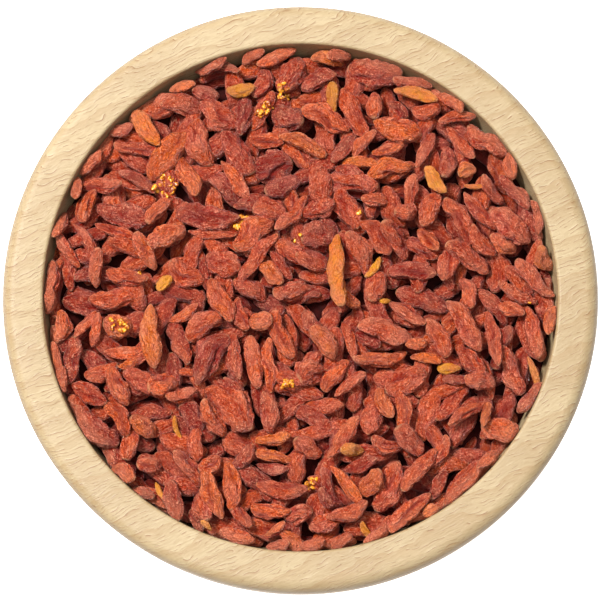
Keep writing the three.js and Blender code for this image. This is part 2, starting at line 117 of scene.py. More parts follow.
# Berries seen in the photo, from the lowest to the uppermost. Each is given in picture units as
# (right, down, heading in degrees, length, width), read one by one, and how ripe its colour looks:
# 0 is plum brown, 1 brick, 2 orange red, 3 orange and 4 amber.
SEEN_BERRIES = [
    (206, 90, -10, 30, 17, 0.8), (222, 69, -8, 42, 12, 0.7), (343, 147, 50, 36, 16, 0.6),
    (398, 106, -30, 26, 14, 0.6), (350, 172, -30, 36, 18, 0.8), (138, 178, -35, 44, 13, 0.7),
    (205, 272, -80, 34, 12, 0.9), (283, 184, 20, 40, 24, 0.7), (281, 264, -50, 36, 12, 0.9),
    (368, 338, -30, 30, 18, 0.7), (311, 320, -50, 26, 16, 0.8), (507, 335, 60, 26, 14, 0.7),
    (455, 379, -5, 26, 12, 0.6), (143, 491, -20, 26, 12, 0.6), (194, 522, -60, 26, 14, 0.7),
    (272, 466, -10, 34, 12, 0.6), (327, 480, -70, 32, 14, 0.7), (437, 482, 60, 34, 14, 0.7),
    (330, 498, -35, 36, 16, 0.9), (193, 414, -40, 34, 20, 0.7), (513, 190, -50, 46, 16, 0.8),
    (243, 112, 90, 44, 20, 0.5), (412, 270, -5, 50, 20, 0.9), (165, 105, 40, 36, 24, 1.8),
    (183, 104, -10, 48, 22, 1.4), (138, 146, -5, 50, 14, 1.1), (262, 80, 70, 34, 22, 1),
    (492, 188, -50, 40, 14, 1.1), (460, 140, -50, 46, 14, 1.5), (425, 148, 62, 44, 14, 1.2),
    (347, 207, -60, 48, 24, 1.2), (319, 208, 20, 36, 22, 1.1), (291, 250, -35, 48, 18, 1.4),
    (312, 262, -20, 40, 16, 1.4), (186, 272, -25, 40, 24, 1.7), (113, 297, 5, 50, 22, 1.5),
    (55, 280, 80, 46, 18, 1.2), (69, 247, -56, 46, 13, 1.4), (86, 241, -65, 46, 13, 1.1),
    (115, 229, -22, 50, 12, 1.4), (127, 247, -25, 42, 18, 1.9), (126, 275, -15, 44, 20, 1.6),
    (408, 312, -35, 44, 16, 1.2), (350, 338, -75, 44, 12, 1.6), (124, 350, 5, 40, 14, 1.7),
    (145, 380, -30, 48, 22, 1.3), (163, 384, 10, 36, 26, 1.9), (405, 378, 25, 46, 28, 1.6),
    (372, 415, 75, 40, 22, 1.4), (292, 290, 10, 40, 20, 1.3), (449, 262, 75, 38, 22, 1.3),
    (517, 291, -30, 44, 14, 1.4), (182, 350, -60, 32, 16, 1.3), (240, 314, -75, 36, 17, 1.4),
    (292, 378, 0, 34, 24, 1.6), (311, 372, 30, 32, 30, 1.6), (335, 374, 50, 40, 18, 1.8),
    (350, 383, 35, 40, 14, 1.4), (308, 446, -35, 34, 20, 1.7), (325, 522, 20, 34, 22, 1.6),
    (440, 450, 60, 36, 18, 1.4), (386, 443, -15, 34, 18, 1.3), (240, 512, -50, 36, 14, 1.2),
    (297, 512, 0, 32, 20, 1.2), (130, 440, 75, 38, 18, 1.8), (150, 463, 15, 28, 18, 1.6),
    (195, 443, 88, 34, 18, 1.3), (124, 130, 25, 28, 15, 1.2), (184, 87, 15, 28, 14, 2.7),
    (218, 112, -35, 48, 28, 1.1), (201, 140, -75, 52, 26, 2), (291, 72, 60, 48, 26, 1),
    (277, 58, 22, 44, 16, 2), (286, 115, -20, 40, 28, 0.7), (262, 108, 62, 46, 16, 1.5),
    (267, 138, 0, 36, 18, 1.7), (238, 150, -55, 56, 26, 1), (272, 166, 20, 44, 32, 0.6),
    (236, 178, -55, 48, 15, 2.1), (188, 174, -62, 48, 20, 2.4), (303, 143, -20, 52, 19, 2.7),
    (318, 77, 20, 40, 18, 0.8), (374, 72, -10, 56, 30, 1), (411, 84, -10, 42, 14, 1),
    (354, 110, -65, 58, 24, 1.8), (426, 108, 0, 30, 20, 1.5), (397, 127, -18, 52, 26, 2.2),
    (326, 117, -28, 54, 24, 1.8), (363, 142, 48, 36, 14, 2), (388, 148, 15, 34, 12, 2.2),
    (320, 183, 85, 40, 28, 1.2), (354, 181, -15, 50, 22, 1.4), (388, 168, 15, 46, 22, 2.5),
    (360, 161, -5, 38, 13, 3), (374, 200, -8, 28, 15, 1.9), (411, 190, 75, 36, 16, 1.6),
    (406, 213, 10, 26, 20, 1.3), (455, 117, 12, 40, 15, 2), (485, 142, -35, 52, 24, 1.2),
    (447, 160, 80, 40, 20, 1.3), (100, 184, -2, 50, 17, 1.6), (122, 213, -15, 62, 24, 0.7),
    (86, 203, 65, 36, 20, 2.3), (98, 266, 88, 42, 15, 1.9), (146, 250, -65, 44, 18, 2),
    (166, 234, 35, 44, 24, 2.2), (158, 208, 52, 44, 16, 2), (208, 213, -5, 66, 28, 0.9),
    (212, 232, -8, 50, 10, 1.6), (166, 153, 52, 62, 28, 2.5), (270, 207, -10, 34, 26, 1.2),
    (254, 232, 45, 50, 28, 2.1), (223, 262, -25, 38, 26, 1.1), (220, 300, -62, 50, 24, 2.1),
    (271, 273, -40, 36, 18, 2.8), (292, 213, 50, 50, 16, 1.8), (256, 258, 54, 66, 15, 1.7),
    (318, 235, 10, 38, 32, 0.9), (377, 235, -50, 46, 22, 1.5), (396, 238, -58, 50, 20, 1.6),
    (430, 208, 60, 38, 24, 1.8), (428, 238, -50, 36, 16, 2.4), (359, 252, -60, 50, 22, 1.6),
    (376, 285, 60, 34, 22, 1.6), (480, 210, -48, 52, 16, 1.3), (461, 219, -62, 56, 22, 1.6),
    (510, 224, -38, 52, 26, 1.3), (482, 240, -50, 40, 18, 1.8), (503, 243, -30, 34, 18, 2.2),
    (468, 255, -32, 54, 22, 1.4), (467, 290, -70, 36, 18, 1.7), (533, 277, -45, 54, 17, 1.5),
    (541, 257, -60, 32, 20, 2.9), (64, 324, 85, 36, 20, 2.2), (74, 358, 85, 48, 20, 0.7),
    (85, 322, 55, 36, 12, 1.7), (95, 328, 75, 36, 14, 1.7), (118, 323, 0, 30, 26, 2.6),
    (102, 370, 20, 36, 18, 1.8), (119, 384, -58, 44, 20, 2), (119, 416, -55, 42, 20, 2.1),
    (98, 424, -42, 58, 24, 0.9), (89, 392, -32, 42, 22, 1), (143, 426, -35, 34, 20, 2.5),
    (134, 360, 25, 34, 12, 2.3), (152, 335, 92, 66, 20, 2.9), (184, 312, 30, 36, 13, 2.3),
    (203, 325, 40, 42, 24, 1.9), (282, 334, -68, 52, 20, 1.9), (261, 320, 5, 26, 20, 2.4),
    (236, 355, -85, 48, 14, 1.1), (209, 357, 58, 60, 30, 0.8), (254, 361, -83, 54, 17, 1.8),
    (269, 364, -86, 56, 15, 1.9), (230, 405, -42, 66, 36, 1.6), (212, 418, -60, 46, 20, 1.9),
    (267, 412, -80, 44, 20, 1.1), (182, 393, 15, 34, 14, 2), (465, 324, -58, 62, 21, 1.9),
    (439, 336, -65, 44, 20, 1.7), (470, 358, -45, 42, 20, 1.6), (512, 368, -65, 54, 20, 1.4),
    (494, 336, -80, 68, 16, 1.2), (532, 330, -75, 54, 18, 1.6), (546, 318, 70, 36, 16, 2.4),
    (511, 308, -20, 30, 15, 2), (384, 332, -12, 56, 24, 1.4), (380, 357, 7, 60, 15, 2.2),
    (416, 343, 5, 24, 12, 2.3), (426, 357, -8, 32, 12, 2.7), (324, 342, -60, 40, 20, 2.6),
    (349, 297, -35, 30, 12, 2.6), (337, 270, 91, 78, 19, 3.3), (403, 412, -82, 48, 16, 2),
    (384, 402, -68, 38, 15, 2.6), (480, 380, -15, 34, 22, 1.1), (500, 427, 0, 38, 24, 1.9),
    (467, 411, 30, 50, 14, 2), (485, 414, 78, 32, 12, 2.8), (409, 440, -50, 38, 24, 1),
    (389, 486, 63, 54, 26, 1.2), (418, 468, 50, 56, 18, 1.8), (408, 508, 45, 56, 18, 1.6),
    (460, 478, 47, 58, 20, 1.7), (484, 456, 35, 34, 14, 1.6), (370, 481, 45, 36, 24, 2.5),
    (360, 464, 20, 38, 16, 0.9), (348, 484, -50, 54, 14, 2.4), (348, 511, 20, 44, 18, 1.9),
    (338, 541, 3, 40, 13, 2.2), (343, 436, 50, 52, 18, 2.1), (282, 487, -3, 52, 20, 1.3),
    (271, 508, -5, 42, 18, 2), (293, 536, -35, 36, 16, 2.2), (275, 527, 33, 28, 10, 2.5),
    (244, 455, 48, 32, 16, 0.9), (273, 438, 12, 36, 12, 2.8), (274, 455, -12, 38, 12, 2.7),
    (177, 497, -80, 42, 20, 0.9), (188, 466, -55, 46, 17, 1.8), (203, 504, -80, 34, 20, 1.2),
    (210, 462, 20, 26, 20, 1.8), (213, 493, -68, 54, 20, 2.5), (231, 484, -87, 50, 18, 2.3),
    (125, 469, -25, 30, 18, 2.3), (147, 127, -59, 48, 20, 3), (327, 57, -5, 36, 19, 2.9),
    (241, 88, 3, 30, 16, 4), (333, 95, -85, 32, 14, 4), (375, 103, 92, 33, 18, 1.9),
    (415, 95, -15, 46, 14, 3.4), (467, 168, 20, 20, 16, 3), (435, 180, -50, 34, 16, 3.7),
    (474, 184, -8, 22, 6, 3.2), (164, 281, 35, 20, 14, 4), (374, 266, 58, 30, 9, 3.8),
    (385, 299, 10, 14, 7, 4), (449, 366, 0, 24, 12, 3.9), (530, 368, -68, 32, 9, 3.4),
    (352, 450, 0, 28, 16, 3.7), (430, 508, 30, 18, 14, 2.8), (368, 527, -45, 26, 8, 3.6),
    (162, 488, -65, 24, 6, 3.9), (177, 425, -75, 24, 6, 3.9), (208, 521, -35, 16, 6, 4),
]

# Mesh of one berry: rings along it and sides around it, and how many berries one piece holds
SEEN_MESH = (40, 32)
HIDDEN_MESH = (18, 14)
WALL_MESH = (26, 20)
SEEN_PER_PIECE = 75
HIDDEN_PER_PIECE = 210

# How near to a berry's ends its girth is still worked out
NEAR_POLE = 0.9999

# Relief of a berry's skin, as a share of its girth: lumps, creases along it and a few long folds.
# A grain is the length in mm over which a relief changes.
SWELL = 1.06
NOISE_REACH = 500
LUMP_GRAIN = 3.4
LUMP_DEPTH = 0.15
FINE_LUMP_SHARE = 0.6
CREASE_GRAIN = (4.2, 1.3, 1.3)
CREASE_DEPTH = 0.16
FINE_CREASE_GRAIN = (2.2, 0.8, 0.8)
FINE_CREASE_DEPTH = 0.1
CREASE_EDGE = 0.4
FOLDS = (2, 5)
FOLD_DEPTH = (0.08, 0.34)
FOLD_WIDTH = (0.16, 0.42)
FOLD_TWIST = 0.9

# How far a berry's axis wanders: a share of its width, which counts up to WANDER_WIDEST
WANDER = 0.16
WANDER_UP = 0.7
WANDER_WIDEST = 6
WANDER_GRAIN = 4.5
WANDER_GRAIN_UP = 4

# Berries nearer the wall than LEAN_FROM lean against it, by up to LEAN
LEAN = 1.9
LEAN_FROM = 8

# Cells on each side over which the height map is evened out, to tell ridges, which get painted light,
# from cavities, which get painted shade
EVEN_CELLS = 3

# How ripe the hidden berries look, the painted shade on them, and how dull the other berries are: the
# plum brown ones the most
HIDDEN_TONE = 1.3
HIDDEN_TONE_SPREAD = 0.45
HIDDEN_TONE_LIMITS = (0.2, 3)
HIDDEN_PAINTED_SHADE = 1.1
SHADE = (0, 1.4)
DULL_SHADE = (0.3, 3.3)
DULL_UNDER_TONE = 1

# Small berries that fill the gaps along the wall
WALL_SEED = 77
WALL_TRIES = 400
WALL_LENGTH = (9, 3)
WALL_WIDTH = (4.2, 1)
WALL_TURN = 0.5
WALL_TONE = (1.5, 0.9)
WALL_TOP = 0.4

# Spilled seeds, in picture units: (right, down, heading in degrees, length, width, seeds)
SPILLS = [
    (283, 89, 85, 17, 9, 16),
    (264, 108, 45, 18, 9, 16),
    (166, 183, 55, 21, 17, 32),
    (242, 220, 60, 18, 8, 12),
    (287, 384, 20, 12, 9, 9),
    (312, 480, 70, 19, 10, 15),
    (119, 325, -10, 18, 11, 13),
    (359, 214, 30, 6, 5, 2),
    (139, 275, 60, 6, 4, 2),
    (298, 235, 90, 6, 5, 2),
    (529, 298, 20, 6, 5, 2),
]

# One seed in mm, and how the seeds differ in size and turn and sink among the berries
SEED_SIZE = (1.8, 1.2, 0.7)
SEED_MESH = (8, 10)
SEED_TAPER = 0.25
SEED_SCALE = (0.7, 1.1)
SEED_ROLL = 1.2
SEED_SLOPE = 0.6
SEED_HEADING = 6
SEED_SINK = 0.2
SEED_HEADROOM = 1

# The dark bed, painted shade that shows between the berries: its top under the crown and its bottom
# under the rim, in mm
BED_TOP = 9.4
BED_BOTTOM = 16
BED_WALL_GAP = 0.4
BED_LUMP = 0.9
BED_LUMP_GRAIN = 3.1
BED_STEPS = 40
BED_SEGMENTS = 128

# How high a berry may stand: a little lower than the CAD part's top
CEILING = cad_box[1][2] / MM - 0.02

# Colours as a screen shows them, from 0 to 255
RIPEST = 4
SKIN_BY_TONE = [
    (0, (84, 42, 32)),
    (0.5, (128, 56, 38)),
    (1, (206, 82, 43)),
    (2, (248, 106, 36)),
    (3, (255, 130, 28)),
    (4, (255, 172, 20)),
]
# Dullness of a berry, and painted shade on the hidden berries
DULL_AND_SHADED_SKIN = (136, 34, 20)
PALE_SKIN = (222, 122, 102)
# A dusty bloom with painted highlight on the skin's fine ridges, and painted shade in the hollows
SKIN_DUST_AND_HIGHLIGHT = (252, 162, 128)
PIT_SHADE = (172, 12, 2)
# Painted shade in the wrinkles and folds
FINE_WRINKLE_SHADE = (166, 18, 6)
DEEP_CREASE_SHADE = (138, 10, 3)
PALE_SPECK = (255, 226, 180)
BERRY_END = (236, 176, 126)
# Painted light where a berry stands out of the pile, and painted shade deep in its cavities
RIDGE_PAINTED_LIGHT = (252, 160, 120)
CAVITY_SHADE = (110, 6, 2)
SEED_STRAW = (234, 158, 42)
SEED_BROWN = (150, 70, 8)
# Painted shade: the dark slab that shows between the berries
BED_SHADE_DARK = (24, 2, 1)
BED_SHADE_RED = (60, 8, 4)
BEECH_DEEP = (160, 138, 103)
BEECH_PALE = (172, 152, 117)
LATE_WOOD = (145, 114, 75)
WOOD_FIBRE = (141, 118, 81)
# Painted highlight beside each pore line
LINE_HIGHLIGHT = (199, 182, 151)
PORE_LINE = (118, 78, 42)
# Painted shade on the bowl's rounded outer edge
OUTER_EDGE_SHADE = (120, 100, 76)

# The wood's grain: its turn about the three axes, how wide its waves are, how many growth bands
# and pore lines there are to a mm along each axis, and where painted shade darkens its outer edge
GRAIN_TURN = (0.1, 0.06, -math.radians(26))
GRAIN_WAVE = 4
BANDS_PER_MM = (0.01, 0.15, 0.12)
LINES_PER_MM = (0.04, 0.85, 0.7)
EDGE_FROM = BOWL_RADIUS - 1.4
EDGE_TO = BOWL_RADIUS - 0.2
EDGE_SHADE_SHARE = 0.55

# Floor, light and camera: places in metres and energies in watts
FLOOR_HALF = 1.5
FLOOR_WHITE = (0.95, 0.95, 0.95, 1)
FLOOR_GLOW = 0.85
WHITE = (1, 1, 1, 1)
WORLD_STRENGTH = 0.21
LAMPS = [
    {"name": "key", "place": (-0.64, 0.44, 1.36), "size": 0.35, "energy": 41.5},
    {"name": "softbox", "place": (0.1, -0.1, 1.5), "size": 1.6, "energy": 13},
]
CAMERA_ELEVATION = math.radians(80.23)
CAMERA_DISTANCE = 0.9
CAMERA_AIM = Vector((-0.0001, -0.0006, 0.054))
LENS = 200.3
SENSOR = 36


# Rule of the pile


def random_draws(seed):
    """Seeded random numbers from 0 to 1, the same ones as in the CAD part."""
    mask = 0xFFFFFFFF
    state = seed & mask

    def draw():
        nonlocal state
        state = (state + 0x6D2B79F5) & mask
        t = state
        t = ((t ^ (t >> 15)) * (t | 1)) & mask
        t ^= (t + (((t ^ (t >> 7)) * (t | 61)) & mask)) & mask
        return (t ^ (t >> 14)) / 4294967296

    return draw


def around(size, draw):
    """A random size: its middle value and up to its spread more or less."""
    return size[0] + size[1] * (draw() + draw() - 1)


def character(draw):
    """What differs from one berry to the next, apart from its place and size."""
    return {
        "flatness": around(FLATNESS, draw),
        "taper": around(TAPER, draw),
        "bluntness": around(BLUNTNESS, draw),
        "bend": around(BEND, draw),
    }


def hollow_radius(depth, gap=0):
    """Radius of the hollow at a depth under the rim."""
    share = max(0, min(1, depth / (INNER_DEPTH - gap)))
    return (INNER_RADIUS - gap) * math.sqrt(max(0, 1 - share**INNER_FULLNESS))


def crown_height(distance):
    """Height of the pile's crown over the table, at a distance from the centre."""
    return BOWL_HEIGHT + CROWN_ABOVE_RIM - CROWN_FALL * (distance / INNER_RADIUS) ** 2


def girth(berry, t):
    """Half girth of a berry along its axis, as a share of its widest, at t from -1 to 1."""
    s = ((1 + t) / 2) ** berry["taper"]
    return (4 * s * (1 - s)) ** berry["bluntness"]


def sideways(berry, t):
    """How far the bent axis lies to the side."""
    return berry["bend"] * berry["length"] * (t * t - 0.4)


def cell_at(distance):
    """Row or column of the height map at a distance from the middle."""
    return math.floor(distance / CELL + GRID / 2 + 0.5)


def middle_of(cell):
    """Distance of a row or column from the middle."""
    return (cell - GRID / 2) * CELL


def on_grid(x, y):
    """Which entry of the height map lies at a place."""
    return cell_at(y) * GRID + cell_at(x)


def bed_heights():
    """A height map that starts as the bed under the pile."""
    heights = []
    for row in range(GRID):
        for column in range(GRID):
            distance = math.hypot(middle_of(column), middle_of(row))
            heights.append(crown_height(distance) - BED_DEPTH)
    return heights


def over_ground(berry, t, o):
    """Place over the ground of the point that is t along the axis and o across the girth."""
    along = t * berry["length"] / 2
    across = o * girth(berry, t) * berry["width"] / 2 + sideways(berry, t)
    c = math.cos(berry["heading"])
    s = math.sin(berry["heading"])
    return berry["x"] + along * c - across * s, berry["y"] + along * s + across * c


def inside_wall(berry):
    """Whether the hollow is wide enough for a berry."""
    for t in (*AXIS_STATIONS, -1, 1):
        height = berry["z"] + t * berry["length"] * berry["slope"] / 2
        limit = hollow_radius(BOWL_HEIGHT - height, BERRY_WALL_GAP)
        if any(math.hypot(*over_ground(berry, t, o)) >= limit for o in (-1, 1)):
            return False
    return True


def surface_under(berry, heights):
    """Height at which the axis would touch at each station, and the ground's lean across it."""
    lift = []
    sides = [0, 0]
    for t in AXIS_STATIONS:
        half = berry["thickness"] / 2 * girth(berry, t)
        highest = -math.inf
        for o in ACROSS_STATIONS:
            ground = heights[on_grid(*over_ground(berry, t, o))]
            highest = max(highest, ground + half * math.sqrt(1 - o * o))
            if o < 0:
                sides[0] += ground
            if o > 0:
                sides[1] += ground
        lift.append(highest)
    apart = ACROSS_STATIONS[2] * berry["width"] * len(AXIS_STATIONS)
    return lift, (sides[1] - sides[0]) / apart


def settle(berry, heights, top_limit):
    """Rests a berry: its axis comes to lie on the surface on both sides of its middle, and its top
    no higher than a limit over the crown.
    """
    lift, lean = surface_under(berry, heights)
    middle = -math.inf
    slope = 0
    for i in range(MIDDLE_STATION):
        for j in range(MIDDLE_STATION + 1, len(AXIS_STATIONS)):
            run = (AXIS_STATIONS[j] - AXIS_STATIONS[i]) * berry["length"] / 2
            rise = (lift[j] - lift[i]) / run
            here = lift[i] - AXIS_STATIONS[i] * berry["length"] * rise / 2
            if here > middle:
                middle = here
                slope = rise
    berry["slope"] = max(-STEEPEST, min(STEEPEST, slope))
    berry["roll"] = max(-MOST_ROLL, min(MOST_ROLL, lean))
    resting = max(middle, lift[MIDDLE_STATION]) - SINK * berry["thickness"]
    crown = crown_height(math.hypot(berry["x"], berry["y"]))
    berry["z"] = min(resting, crown + top_limit - berry["thickness"] / 2)
    berry["cost"] = resting - crown + STEEP_COST * abs(slope)


def step_inward(berry):
    """Moves a berry a little towards the middle of the bowl."""
    berry["x"] *= STEP_INWARD
    berry["y"] *= STEP_INWARD


def let_down(berry, heights, top_limit):
    """Lets a berry down from the rim, nearer the centre where the wall is in its way."""
    while not inside_wall(berry):
        step_inward(berry)
    settle(berry, heights, top_limit)
    while not inside_wall(berry):
        step_inward(berry)
        settle(berry, heights, top_limit)


def cover(berry, heights):
    """Raises the height map to the top of a berry."""
    c = math.cos(berry["heading"])
    s = math.sin(berry["heading"])
    reach = math.ceil(berry["length"] / 2 / CELL) + 1
    column = cell_at(berry["x"])
    row = cell_at(berry["y"])
    for j in range(row - reach, row + reach + 1):
        for i in range(column - reach, column + reach + 1):
            dx = middle_of(i) - berry["x"]
            dy = middle_of(j) - berry["y"]
            along = dx * c + dy * s
            t = 2 * along / berry["length"]
            if abs(t) >= 1:
                continue
            across = dy * c - dx * s - sideways(berry, t)
            thick = girth(berry, t)
            o = 2 * across / (thick * berry["width"])
            if abs(o) >= 1:
                continue
            half = berry["thickness"] / 2 * thick * math.sqrt(1 - o * o)
            top = berry["z"] + along * berry["slope"] + across * berry["roll"] + half
            heights[j * GRID + i] = max(heights[j * GRID + i], top)


def new_berry(place, heading, length, width, shape):
    """A level berry over a place on the ground, at the height of the rim."""
    return {
        "x": place[0],
        "y": place[1],
        "z": BOWL_HEIGHT,
        "slope": 0,
        "heading": heading,
        "length": length,
        "width": width,
        "thickness": width * shape["flatness"],
        **shape,
    }


def lowest_berry(draw, heights):
    """One berry of a random size at the lowest of a few random places."""
    length = around(LENGTH, draw)
    width = min(around(WIDTH, draw), LONGEST_TO_WIDE * length)
    shape = character(draw)
    best = None
    for _ in range(TRIES):
        distance = (INNER_RADIUS - BERRY_WALL_GAP) * math.sqrt(draw())
        bearing = math.tau * draw()
        place = (distance * math.cos(bearing), distance * math.sin(bearing))
        berry = new_berry(place, math.tau * draw(), length, width, shape)
        if not inside_wall(berry):
            berry["heading"] = bearing + math.pi / 2
        let_down(berry, heights, HIDDEN_TOP)
        if best is None or berry["cost"] < best["cost"]:
            best = berry
    return best


def from_picture(right, down):
    """Place over the ground, in mm, of a point of the photo."""
    away = (PICTURE_CENTRE[1] - down) / UNITS_PER_MM_AWAY
    farther = 1 + SMALLER_PER_MM * away
    return (right - PICTURE_CENTRE[0]) / UNITS_PER_MM * farther, away * farther


def seen_berry(row, rank, draw, heights):
    """A berry that lies where the photo shows it. Its rank is 0 for the lowest, 1 for the uppermost."""
    right, down, heading, length, width, tone = row
    shape = character(draw)
    size = (length / UNITS_PER_MM, width / UNITS_PER_MM)
    berry = new_berry(from_picture(right, down), math.radians(heading), *size, shape)
    berry["tone"] = tone
    let_down(berry, heights, SEEN_TOP[0] * (1 - rank) + SEEN_TOP[1] * rank)
    crown = crown_height(math.hypot(berry["x"], berry["y"]))
    berry["z"] = max(berry["z"], crown - SEEN_DEPTH)
    return berry


def pile():
    """Every berry of the pile: the hidden ones, then those that the photo shows."""
    draw = random_draws(PILE_SEED)
    heights = bed_heights()
    hidden = []
    for _ in range(HIDDEN_BERRIES):
        berry = lowest_berry(draw, heights)
        cover(berry, heights)
        hidden.append(berry)
    seen = []
    for n, row in enumerate(SEEN_BERRIES):
        berry = seen_berry(row, n / len(SEEN_BERRIES), draw, heights)
        cover(berry, heights)
        seen.append(berry)
    return hidden, seen, heights


def wall_berries(heights):
    """Small berries that lie along the wall, in the gaps behind the others."""
    draw = random_draws(WALL_SEED)
    found = []
    for _ in range(WALL_TRIES):
        length = around(WALL_LENGTH, draw)
        width = around(WALL_WIDTH, draw)
        shape = character(draw)
        bearing = math.tau * draw()
        distance = INNER_RADIUS - BERRY_WALL_GAP - width / 2
        place = (distance * math.cos(bearing), distance * math.sin(bearing))
        heading = bearing + math.pi / 2 + WALL_TURN * (2 * draw() - 1)
        berry = new_berry(place, heading, length, width, shape)
        berry["tone"] = around(WALL_TONE, draw)
        let_down(berry, heights, SEEN_TOP[1])
        top = berry["z"] + berry["thickness"] / 2
        if top < crown_height(math.hypot(berry["x"], berry["y"])) + WALL_TOP:
            cover(berry, heights)
            found.append(berry)
    return found


# Noise


def lattice(x, y, z, seed):
    """A random number from -1 to 1 for each corner of a cubic lattice."""
    n = (x * 73856093) ^ (y * 19349663) ^ (z * 83492791) ^ (seed * 6542989)
    n = ((n ^ (n >> 13)) * 1274126177) & 0xFFFFFFFF
    n = ((n ^ (n >> 15)) * 668265263) & 0xFFFFFFFF
    return ((n >> 8) & 0xFFFF) / 32767.5 - 1


def noise(points, seed):
    """Smooth noise from about -1 to 1 at points of shape (..., 3)."""
    cell = np.floor(points).astype(np.int64)
    part = points - cell
    part = part * part * (3 - 2 * part)
    total = 0
    for corner in range(8):
        step = np.array([corner & 1, corner >> 1 & 1, corner >> 2 & 1])
        weight = np.prod(np.where(step, part, 1 - part), axis=-1)
        x, y, z = np.moveaxis(cell + step, -1, 0)
        total = total + weight * lattice(x, y, z, seed)
    return total


# Meshes


def ring_grid(rings, sides):
    """Places from -1 to 1 along an axis and angles round it, for each ring and side of a mesh."""
    t = -np.cos(np.linspace(0, math.pi, rings + 1))[:, None] * np.ones(sides)
    angle = np.linspace(0, math.tau, sides, endpoint=False)[None, :] * np.ones((rings + 1, 1))
    return t, angle


def without_doubles(values):
    """Values of a grid of corners with its first and last ring kept as one corner each."""
    middle = values[1:-1].reshape(-1, *values.shape[2:])
    return np.concatenate([values[0, :1], middle, values[-1, :1]])


def tube_faces(rings, sides, start):
    """Faces of a grid of rings whose first and last ring are a single corner each."""
    faces = []
    last = start + 1 + (rings - 1) * sides
    for k in range(sides):
        n = (k + 1) % sides
        faces.append((start, start + 1 + n, start + 1 + k))
        faces.append((last, last - sides + k, last - sides + n))
    for r in range(rings - 2):
        low = start + 1 + r * sides
        for k in range(sides):
            n = (k + 1) % sides
            faces.append((low + k, low + n, low + sides + n, low + sides + k))
    return faces


def smooth_mesh(name, corners, faces):
    """A smooth shaded mesh of corners in mm."""
    mesh = bpy.data.meshes.new(name)
    mesh.from_pydata((corners * MM).tolist(), [], faces)
    mesh.polygons.foreach_set("use_smooth", [True] * len(mesh.polygons))
    return mesh


def add_attribute(mesh, name, values):
    """A number or a vector for each corner of a mesh."""
    is_vector = values.ndim == 2
    layer = mesh.attributes.new(name, "FLOAT_VECTOR" if is_vector else "FLOAT", "POINT")
    layer.data.foreach_set("vector" if is_vector else "value", values.astype(np.float32).ravel())


def place_piece(mesh):
    piece = bpy.data.objects.new(mesh.name, mesh)
    bpy.context.scene.collection.objects.link(piece)
    return piece


# The berries' meshes


def fold(angle, centre, width):
    """How much of a fold at an angle round the berry is felt at other angles, from 0 to 1."""
    apart = np.angle(np.exp(1j * (angle - centre)))
    return np.exp(-((apart / width) ** 2))


def skin_relief(place, t, angle, dice):
    """Relief of the skin as a share of the girth, from its lumps, creases and folds."""
    lumps = noise(place / LUMP_GRAIN, 1) + FINE_LUMP_SHARE * noise(place / (LUMP_GRAIN / 2), 2)
    crease = 1 - np.abs(noise(place / CREASE_GRAIN, 3)) / CREASE_EDGE
    fine = 1 - np.abs(noise(place / FINE_CREASE_GRAIN, 4)) / CREASE_EDGE
    relief = LUMP_DEPTH * lumps - CREASE_DEPTH * np.maximum(crease, 0)
    relief = relief - FINE_CREASE_DEPTH * np.maximum(fine, 0)
    for _ in range(dice.integers(FOLDS[0], FOLDS[1] + 1)):
        centre = dice.uniform(0, math.tau) + dice.uniform(-FOLD_TWIST, FOLD_TWIST) * t
        deep = dice.uniform(*FOLD_DEPTH) * (1 - t**2)
        relief = relief - deep * fold(angle, centre, dice.uniform(*FOLD_WIDTH))
    return relief


def berry_corners(berry, mesh_size, dice):
    """Corners of a wrinkled berry in its own frame in mm, their places in the skin's texture, and
    their relief.
    """
    t, angle = ring_grid(*mesh_size)
    thick = girth(berry, np.clip(t, -NEAR_POLE, NEAR_POLE))
    thick[0] = 0
    thick[-1] = 0
    along = t * berry["length"] / 2
    across = thick * berry["width"] / 2 * np.cos(angle)
    up = thick * berry["thickness"] / 2 * np.sin(angle)
    offset = dice.uniform(-NOISE_REACH, NOISE_REACH, 3)
    place = np.stack([along, across, up], axis=-1) + offset
    relief = skin_relief(place, t, angle, dice)
    factor = SWELL + relief
    axis = np.stack([along, 0 * along, 0 * along], axis=-1) + offset
    wander = min(berry["width"], WANDER_WIDEST) * WANDER
    across = across * factor + sideways(berry, t) + wander * noise(axis / WANDER_GRAIN, 5)
    up = up * factor + WANDER_UP * wander * noise(axis / WANDER_GRAIN_UP, 6)
    corners = np.stack([along, across, up], axis=-1)
    return without_doubles(corners), without_doubles(place), without_doubles(relief)


def turn_about(axis, angle):
    """Rotation about one of the three axes."""
    turn = np.eye(3)
    a, b = (axis + 1) % 3, (axis + 2) % 3
    turn[a, a] = turn[b, b] = math.cos(angle)
    turn[b, a] = math.sin(angle)
    turn[a, b] = -math.sin(angle)
    return turn


def resting_turn(berry):
    """Rotation of a berry: rolled, then sloped, then headed."""
    roll = turn_about(0, math.atan(berry["roll"]))
    slope = turn_about(1, -math.atan(berry["slope"]))
    return turn_about(2, berry["heading"]) @ slope @ roll


def leaning_place(berry):
    """Place of a berry: one that lies near the wall leans against it."""
    radius = math.hypot(berry["x"], berry["y"])
    near = max(0, min(1, (radius + LEAN_FROM - INNER_RADIUS) / LEAN_FROM))
    outward = 1 + LEAN * near / max(radius, 1)
    return berry["x"] * outward, berry["y"] * outward, berry["z"]


def off_wall(corners):
    """Presses in what would go into the bowl's wall."""
    radius = np.hypot(corners[:, 0], corners[:, 1])
    limit = np.array([hollow_radius(BOWL_HEIGHT - z, SKIN_WALL_GAP) for z in corners[:, 2]])
    factor = np.minimum(1, limit / np.maximum(radius, 1))
    return corners * np.stack([factor, factor, np.ones(len(corners))], axis=-1)


